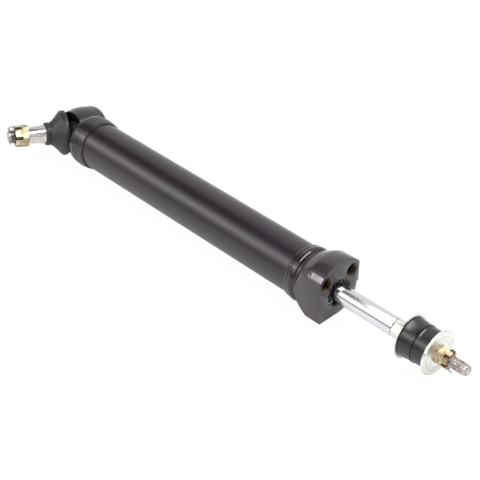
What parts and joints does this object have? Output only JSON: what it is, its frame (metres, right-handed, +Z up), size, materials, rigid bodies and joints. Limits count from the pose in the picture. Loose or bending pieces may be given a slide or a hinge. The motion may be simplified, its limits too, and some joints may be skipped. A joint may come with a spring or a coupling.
{
  "type": "hydraulic steering cylinder",
  "caption": "Long double-acting hydraulic steering cylinder with a ball stud at its fixed end, hose ports beside the rod gland and a rubber-bushed threaded rod end.",
  "frame": {"origin": "centre of the ball in the socket at the fixed end, on the cylinder's own axis", "axes": "+X along the cylinder from the ball to the rod's threaded tip, +Z up, +Y away from the ball stud"},
  "size_m": [0.5094, 0.0902, 0.0588],
  "materials": {
    "gloss_black_paint": "gloss black enamel over drawn steel and the machined head",
    "cast_black_paint": "satin black enamel over a rough forging",
    "honed_steel": "honed and drawn steel, oiled",
    "chrome_rod": "hard chrome, ground along its length and polished",
    "ground_steel": "ground and turned steel",
    "spring_steel": "oiled spring steel",
    "silver_zinc": "clear zinc plate on pressed steel",
    "yellow_zinc": "yellow chromate zinc plate",
    "brass": "turned brass",
    "bronze_bush": "sintered bronze",
    "black_rubber": "moulded black rubber",
    "piston_iron": "turned iron"
  },
  "bodies": {
    "cylinder": {"outer_tube": "gloss_black_paint", "inner_barrel": "honed_steel", "socket_end": "cast_black_paint", "socket_plug": "ground_steel", "seat_spring": "spring_steel", "port_head": "gloss_black_paint", "port_seat_left": "brass", "port_seat_right": "brass", "barrel_seal": "black_rubber", "rod_bush": "bronze_bush", "rod_seal": "black_rubber", "seal_backup": "ground_steel", "rod_scraper": "black_rubber", "retaining_ring": "spring_steel"},
    "ring": {"piston_ring": "piston_iron"},
    "rod": {"piston_rod": "chrome_rod", "piston": "piston_iron", "piston_nut": "ground_steel", "inner_washer": "silver_zinc", "inner_bushing": "black_rubber", "spacer_sleeve": "ground_steel", "outer_bushing": "black_rubber", "outer_washer": "silver_zinc", "rod_nut": "yellow_zinc", "rod_cotter": "yellow_zinc"},
    "seat": {"pressure_seat": "ground_steel"},
    "boot": {"dust_boot": "black_rubber"},
    "stud": {"ball_stud": "ground_steel", "stud_nut": "yellow_zinc", "stud_cotter": "yellow_zinc"}
  },
  "joints": [
    {"name": "rod_slide", "type": "slide", "parent": "cylinder", "child": "ring", "axis": [1, 0, 0], "range_m": [-0.055, 0.175]},
    {"name": "rod_turn", "type": "hinge", "parent": "ring", "child": "rod", "pos_m": [0, 0, 0], "axis": [1, 0, 0], "continuous": true},
    {"name": "stud_sweep", "type": "hinge", "parent": "cylinder", "child": "seat", "pos_m": [0, 0, 0], "axis": [0, -0.9563, 0.2924], "range_deg": [-75, 45]},
    {"name": "stud_lean", "type": "hinge", "parent": "seat", "child": "boot", "pos_m": [0, 0, 0], "axis": [0.3611, -0.2726, -0.8918], "range_deg": [-33, 4]},
    {"name": "stud_spin", "type": "hinge", "parent": "boot", "child": "stud", "pos_m": [0, 0, 0], "axis": [-0.4034, -0.9079, 0.1142], "continuous": true}
  ]
}
